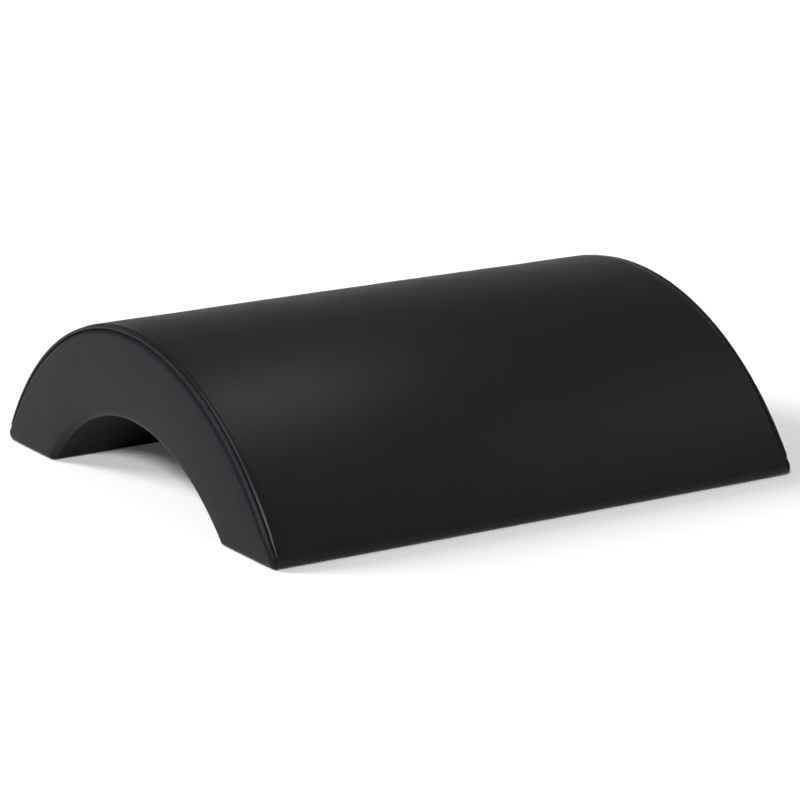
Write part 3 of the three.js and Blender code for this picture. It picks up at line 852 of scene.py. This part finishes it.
def rubber():
    finish = Finish("grip_rubber")
    pits = finish.cells(700.0, "F1")
    dust = finish.noise(40.0, 4.0)
    return finish.shade(
        Base_Color=finish.tinted(dust, (0.02, 0.02, 0.021), (0.034, 0.034, 0.036)),
        Roughness=finish.ranged(dust, 0.78, 0.92),
        Specular_IOR_Level=0.35,
        Normal=finish.bumped(pits, 0.2 * MM))


def zinc():
    finish = Finish("zinc_steel")
    spangle = finish.noise(600.0, 3.0)
    return finish.shade(
        Base_Color=finish.tinted(spangle, (0.55, 0.56, 0.58), (0.68, 0.69, 0.71)),
        Metallic=1.0,
        Roughness=finish.ranged(spangle, 0.3, 0.42),
        Normal=finish.bumped(spangle, 0.01 * MM))


def cord():
    finish = Finish("spun_cord")
    strands = finish.noise(1.0, 2.0, finish.stretched((1800.0, 700.0, 700.0)))
    return finish.shade(
        Base_Color=finish.tinted(strands, (0.62, 0.58, 0.5), (0.84, 0.81, 0.74)),
        Roughness=finish.ranged(strands, 0.85, 0.98),
        Normal=finish.bumped(strands, 0.15 * MM))


foam_finish = foam()
cord_finish = cord()
rib_ply = layered("rib_plywood", axis_of(0), GRAIN_ALONG_Y)
board_ply = layered("board_plywood", axis_of(2), GRAIN_ALONG_X)
outer_ply = layered("outer_skin_plywood", radius_from(BARREL), GRAIN_ALONG_X)
inner_ply = layered("inner_skin_plywood", radius_from(ARCH), GRAIN_ALONG_X)
pine_finish = pine()
rubber_finish = rubber()
zinc_finish = zinc()


def dress(piece, material, slot, *replaced):
    piece.data.materials.clear()
    piece.data.materials.append(material)
    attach(piece, "root")
    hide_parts(*replaced)


def in_arch(point):
    """Whether a point of an end panel is on the lip that is turned into the arch, which is as
    matt as the lining beside it and shares its painted light, a lighter base colour."""
    turned_in = abs(point.x) < LENGTH / 2 - ARCH_EDGE_RADIUS
    return turned_in and math.hypot(point.y, point.z - ARCH.z) < ARCH.radius + INNER_RADIUS


dress(barrel_panel, panel_leather, "leather", "barrel_cover")
dress(lining_panel, lining_leather_painted_light, "leather", "arch_lining")
dress(barrel_pad, foam_finish, "foam", "barrel_pad")
for side in ("left", "right"):
    dress(end_panels[side], end_leather_painted_shade, "leather", f"end_cover_{side}")
    # The lip turned into the arch takes the lining's finish, with its painted light: a lighter
    # base colour than the end panel's.
    end_panels[side].data.materials.append(lining_leather_painted_light)
    for face in end_panels[side].data.polygons:
        face.material_index = int(in_arch(face.center))
    dress(end_foams[side], foam_finish, "foam", f"end_pad_{side}")
    dress(welts[side], strip_leather, "piping_leather", f"piping_{side}")
    dress(welt_cords[side], cord_finish, "cord", f"piping_cord_{side}")

CAD_FINISHES = {
    "end_rib": rib_ply, "mid_rib": rib_ply, "base_board": board_ply, "outer_skin": outer_ply,
    "inner_skin": inner_ply, "crown_batten": pine_finish, "haunch_batten": pine_finish,
    "foot_grip": rubber_finish, "base_screw": zinc_finish,
}
for name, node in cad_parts.items():
    for start, finish in CAD_FINISHES.items():
        if name.startswith(start):
            for slot in node.material_slots:
                slot.material = finish

# The end panel's outline in section, as y and z
end_outline = PANEL_RIM.ring(LENGTH / 2, 0, 0)[:, 1:]


# Studio: a pale floor, two broad lights, and softboxes that show in the leather
FLOOR_REACH = 30.0
FLOOR_WHITE = 0.04  # share of plain white in what the camera sees of the floor
COOL = (0.95, 0.95, 1.0)
SKY = (0.235, 0.235, 0.251, 1)

# Energy, angle in degrees, and the direction that it comes from
SUNS = {
    "back_light": (3.0, 24, (-0.64, 0.75, 0.51)),
    "fill_light": (2.9, 9, (-0.64, -0.77, 0.60)),
}

# Place, what it points at, width, height and radiance
SOFTBOXES = {
    "band_softbox": ((-0.01, -0.07, 0.62), (-0.30, -0.19, 0.12), 0.2, 0.16, 6.9),
    "front_left_softbox": ((-0.66, -0.36, 0.29), (-0.3, -0.25, 0.08), 0.14, 0.14, 20.0),
    "top_left_softbox": ((-0.88, -0.02, 0.8), (-0.3, -0.15, 0.15), 0.3, 0.3, 7.5),
    "back_panel": ((1.5, 2.55, 0.55), (0, 0, 0.15), 2.4, 0.95, 0.5),
    "right_softbox": ((0.68, -0.48, 0.75), (0.27, -0.2, 0.12), 0.4, 0.4, 1.6),
    "right_panel": ((2.75, 1.2, 0.4), (0.3, -0.2, 0.1), 1.0, 0.8, 3.0),
}


def floor():
    mesh = bpy.data.meshes.new("studio_floor")
    signs = ((-1, -1), (1, -1), (1, 1), (-1, 1))
    corners = [(x * FLOOR_REACH, y * FLOOR_REACH, 0) for x, y in signs]
    mesh.from_pydata(corners, [], [(0, 1, 2, 3)])
    piece = bpy.data.objects.new("studio_floor", mesh)
    bpy.context.scene.collection.objects.link(piece)
    finish = Finish("studio_floor")
    cloud = finish.noise(0.4, 1.0)
    mesh.materials.append(finish.shade(
        Base_Color=finish.tinted(cloud, (0.955, 0.955, 0.955), (0.965, 0.965, 0.965)),
        Roughness=0.9, Specular_IOR_Level=0.0))
    # To the camera the floor is part plain white, so that its shadows look as light as in a
    # studio.
    tree = finish.tree
    by_camera = add(tree, "ShaderNodeLightPath").outputs["Is Camera Ray"]
    seen = finish.math("MULTIPLY", by_camera, FLOOR_WHITE)
    white = add(tree, "ShaderNodeEmission", {"Color": (1, 1, 1, 1), "Strength": 1.0})
    lit = tree.nodes["Principled BSDF"]
    mixed = add(tree, "ShaderNodeMixShader", {0: seen, 1: lit.outputs[0], 2: white.outputs[0]})
    tree.links.new(mixed.outputs[0], tree.nodes["Material Output"].inputs["Surface"])


def aimed(light, location, target):
    lamp = bpy.data.objects.new(light.name, light)
    lamp.location = location
    lamp.rotation_euler = (Vector(target) - Vector(location)).to_track_quat("-Z", "Y").to_euler()
    lamp.visible_camera = False
    bpy.context.scene.collection.objects.link(lamp)
    return lamp


def sun(name, energy, angle, direction):
    """A broad far light. The leather doesn't mirror it."""
    light = bpy.data.lights.new(name, "SUN")
    light.energy = energy
    light.angle = math.radians(angle)
    aimed(light, direction, (0, 0, 0)).visible_glossy = False


def gloss_box(name, location, target, width, height, radiance):
    """A slightly cool softbox that only shows as a reflection."""
    light = bpy.data.lights.new(name, "AREA")
    light.shape = "RECTANGLE"
    light.size, light.size_y = width, height
    light.energy = radiance * math.pi * width * height
    light.color = COOL
    aimed(light, location, target).visible_diffuse = False


floor()
for name, values in SUNS.items():
    sun(name, *values)
for name, values in SOFTBOXES.items():
    gloss_box(name, *values)

world = bpy.data.worlds.new("studio_world")
bpy.context.scene.world = world
world.use_nodes = True
world.node_tree.nodes.clear()
sky = add(world.node_tree, "ShaderNodeBackground", {"Color": SKY, "Strength": 1.0})
add(world.node_tree, "ShaderNodeOutputWorld", {"Surface": sky.outputs[0]})


# Camera: the photograph's view, worked out from the outline of the arch
AZIMUTH = math.radians(-30.8)
ELEVATION = math.radians(14.05)
ROLL = -0.0173
TARGET = Vector((-0.0287, -0.0713, 0.08))
DISTANCE = 3.39
FOCAL_LENGTH = 150.8  # in the camera's own millimetres, as the sensor
SENSOR_WIDTH = 36.0
VIEW_END = 100.0


def camera():
    back = Vector((math.sin(AZIMUTH) * math.cos(ELEVATION),
                   -math.cos(AZIMUTH) * math.cos(ELEVATION), math.sin(ELEVATION)))
    level = Vector((math.cos(AZIMUTH), math.sin(AZIMUTH), 0))
    upright = back.cross(level)
    right = math.cos(ROLL) * level + math.sin(ROLL) * upright
    up = math.cos(ROLL) * upright - math.sin(ROLL) * level
    lens = bpy.data.cameras.new("photo_camera")
    lens.lens = FOCAL_LENGTH
    lens.sensor_width = SENSOR_WIDTH
    lens.clip_end = VIEW_END
    holder = bpy.data.objects.new("photo_camera", lens)
    holder.matrix_world = Matrix((right, up, back)).transposed().to_4x4()
    holder.location = TARGET + DISTANCE * back
    bpy.context.scene.collection.objects.link(holder)
    bpy.context.scene.camera = holder


camera()
bpy.context.scene.view_settings.view_transform = "Standard"
